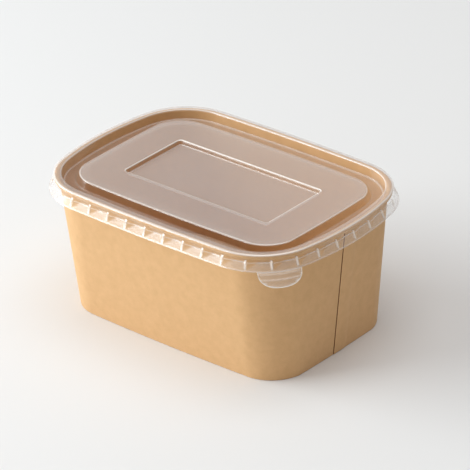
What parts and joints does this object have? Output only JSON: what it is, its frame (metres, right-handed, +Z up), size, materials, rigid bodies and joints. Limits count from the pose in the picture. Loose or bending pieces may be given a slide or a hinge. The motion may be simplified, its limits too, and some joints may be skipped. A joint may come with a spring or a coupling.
{
  "type": "lidded meal box",
  "caption": "Rectangular paperboard meal box with round corners, a rolled rim and a translucent press-on lid that has a ribbed skirt and a corner pull tab.",
  "frame": {"origin": "centre of the box's footprint, on the surface that it stands on", "axes": "+X along the length, towards the side with the lap seam; +Y across the width; +Z up, out of the bowl and through the lid"},
  "size_m": [0.1768, 0.1242, 0.0777],
  "materials": {
    "kraft_board": "uncoated kraft, matte",
    "frosted_lid": "translucent polypropylene, satin"
  },
  "bodies": {
    "box": {"side_wall": "kraft_board", "bottom_panel": "kraft_board"},
    "lid": {"lid": "frosted_lid"}
  },
  "joints": [
    {"name": "lid_lift", "type": "slide", "parent": "box", "child": "lid", "axis": [0, 0, 1], "range_m": [0, 0.04]}
  ]
}
